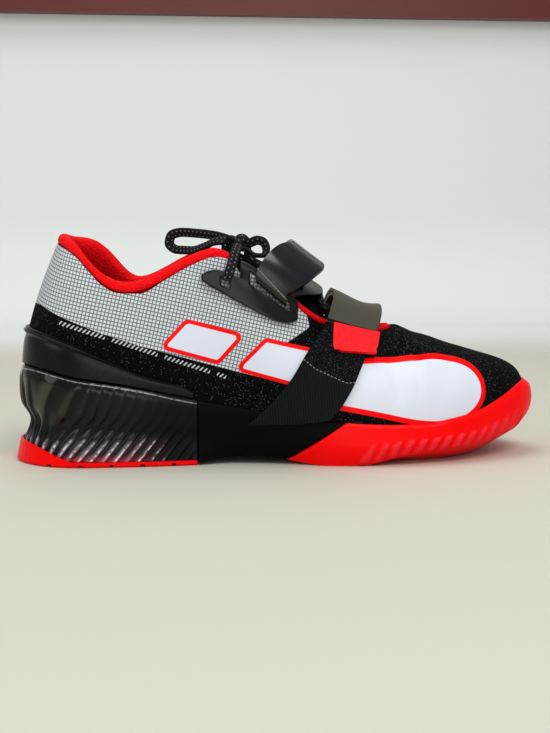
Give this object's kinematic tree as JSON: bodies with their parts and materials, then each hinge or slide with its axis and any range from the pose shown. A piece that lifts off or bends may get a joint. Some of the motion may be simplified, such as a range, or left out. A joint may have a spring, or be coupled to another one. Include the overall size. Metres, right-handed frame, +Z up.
{
  "type": "weightlifting shoe",
  "caption": "Right-foot weightlifting shoe: knit upper with padded collar, laces and hook-and-loop straps, on a high ribbed heel block and a rubber forefoot sole",
  "frame": {"origin": "on the flat underside of the heel plate, at the mount heel_rest", "axes": "+X from heel to toe, +Y to the medial side, +Z up"},
  "size_m": [0.3008, 0.1112, 0.1297],
  "materials": {
    "knit_black": "open knit with pale mesh side panels",
    "knit_red": "brushed padded knit",
    "plastic_black": "moulded, satin to gloss",
    "plastic_smoke": "smoky translucent, moulded ribs",
    "rubber_red": "moulded, matte",
    "foam_black": "moulded foam, matte",
    "webbing": "ribbed webbing with a hook-and-loop patch",
    "strap_gloss": "coated, glossy",
    "lace": "braided, with pale flecks"
  },
  "bodies": {
    "root": {"upper": "knit_black", "collar_roll": "knit_red", "throat_binding_lateral": "knit_red", "throat_binding_medial": "knit_red", "heel_counter": "plastic_black", "heel_block": "plastic_smoke", "outsole_heel": "rubber_red", "midsole": "foam_black", "outsole_forefoot": "rubber_red", "insole": "foam_black", "tongue": "knit_black", "lace_bracket": "plastic_black", "strap_lower": "webbing", "strap_tab": "rubber_red", "strap_anchor": "webbing", "strap_ring": "plastic_black", "strap_upper": "strap_gloss", "lace_bars": "lace", "lace_knot": "lace", "lace_loop_back": "lace", "lace_loop_front": "lace", "lace_run_lateral": "lace", "lace_run_medial": "lace"}
  },
  "joints": []
}
